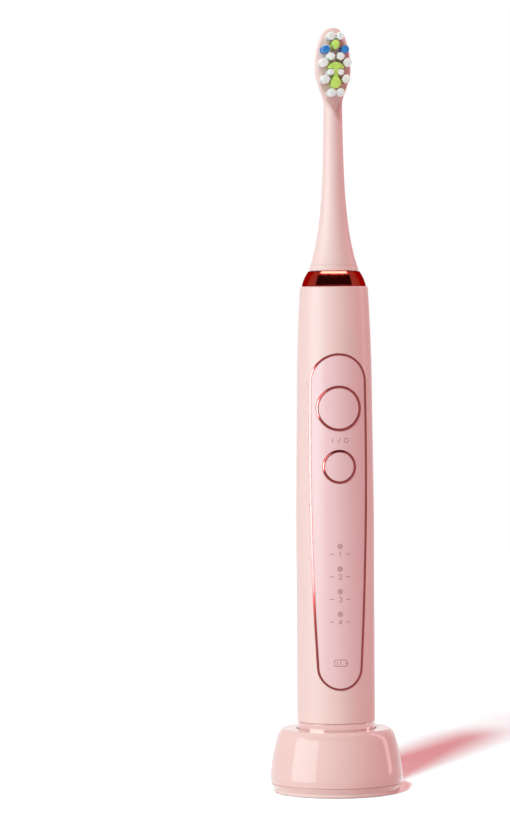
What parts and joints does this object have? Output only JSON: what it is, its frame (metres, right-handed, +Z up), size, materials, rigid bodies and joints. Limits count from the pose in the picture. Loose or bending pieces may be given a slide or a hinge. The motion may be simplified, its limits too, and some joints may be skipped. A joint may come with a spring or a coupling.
{
  "type": "electric toothbrush on charger",
  "caption": "Sonic toothbrush with a slim pull-off brush head and pressed buttons in a glossy panel, standing on a round inductive charging base.",
  "frame": {"origin": "centre of the charging base on the surface it stands on", "axes": "+Z up along the handle, -Y towards the side with the buttons and bristles, +X to the right seen from that side"},
  "size_m": [0.0469, 0.0468, 0.2689],
  "materials": {
    "shell_pink": "satin moulded plastic, pale pink",
    "panel_pink": "high-gloss pink inlay",
    "rose_gold": "polished rose-gold plating",
    "button_pink": "satin pink button",
    "white_nylon": "off-white nylon filament",
    "green_nylon": "lime green nylon filament",
    "blue_nylon": "blue nylon filament",
    "seal_rubber": "soft grey silicone",
    "foot_rubber": "soft pink rubber",
    "steel": "bright steel",
    "brass": "sintered bearing bronze",
    "copper_wire": "enamelled copper winding",
    "ferrite": "dark ferrite",
    "inner_plastic": "plain inner moulding",
    "clear_plastic": "translucent light guide",
    "board_green": "circuit board",
    "part_black": "black moulded component",
    "battery_sleeve": "plain shrink sleeve"
  },
  "bodies": {
    "charger": {"charger_housing": "shell_pink", "charger_base_plate": "shell_pink", "charger_screws": "steel", "foot_ring": "foot_rubber", "cord_gland": "seal_rubber", "charger_board": "board_green", "charger_board_parts": "part_black", "primary_bobbin": "inner_plastic", "primary_coil": "copper_wire", "primary_core": "ferrite"},
    "power_button": {"power_button_cap": "button_pink", "power_switch_plunger": "inner_plastic"},
    "mode_button": {"mode_button_cap": "button_pink", "mode_switch_plunger": "inner_plastic"},
    "drive": {"drive_shaft": "steel", "rotor_yoke": "steel", "rotor_magnets": "ferrite"},
    "brush_head": {"head_body": "shell_pink", "head_ring": "shell_pink", "shaft_socket": "inner_plastic", "socket_clip": "steel", "white_bristles": "white_nylon", "green_bristles": "green_nylon", "blue_bristles": "blue_nylon"},
    "handle": {"handle_shell": "shell_pink", "front_panel": "panel_pink", "panel_trim": "rose_gold", "power_button_ring": "rose_gold", "mode_button_ring": "rose_gold", "power_button_seal": "seal_rubber", "mode_button_seal": "seal_rubber", "light_guide": "clear_plastic", "end_cap": "shell_pink", "end_seal": "seal_rubber", "end_ring": "rose_gold", "receiver_bobbin": "inner_plastic", "receiver_coil": "copper_wire", "inner_frame": "inner_plastic", "frame_screws": "steel", "battery_cell": "battery_sleeve", "battery_tabs": "steel", "main_board": "board_green", "board_parts": "part_black", "switch_housings": "part_black", "indicator_leds": "clear_plastic", "motor_can": "steel", "motor_end_cap": "part_black", "motor_front_bush": "brass", "motor_rear_bush": "brass", "stator_core": "steel", "stator_coils": "copper_wire", "motor_dampers": "seal_rubber", "nose_plug": "inner_plastic", "nose_seal": "seal_rubber", "nose_collar": "rose_gold", "shaft_seal": "seal_rubber"}
  },
  "joints": [
    {"name": "handle_lift", "type": "slide", "parent": "charger", "child": "handle", "axis": [0, 0, 1], "range_m": [0, 0.045]},
    {"name": "power_press", "type": "slide", "parent": "handle", "child": "power_button", "axis": [0, 1, 0], "range_m": [0, 0.0004], "stiffness_N_per_m": 400},
    {"name": "mode_press", "type": "slide", "parent": "handle", "child": "mode_button", "axis": [0, 1, 0], "range_m": [0, 0.0004], "stiffness_N_per_m": 400},
    {"name": "shaft_swing", "type": "hinge", "parent": "handle", "child": "drive", "pos_m": [0, 0, 0.17], "axis": [0, 0, 1], "range_deg": [-5, 5], "stiffness_Nm_per_rad": 0.02},
    {"name": "head_pull", "type": "slide", "parent": "drive", "child": "brush_head", "axis": [0, 0, 1], "range_m": [0, 0.03]}
  ]
}
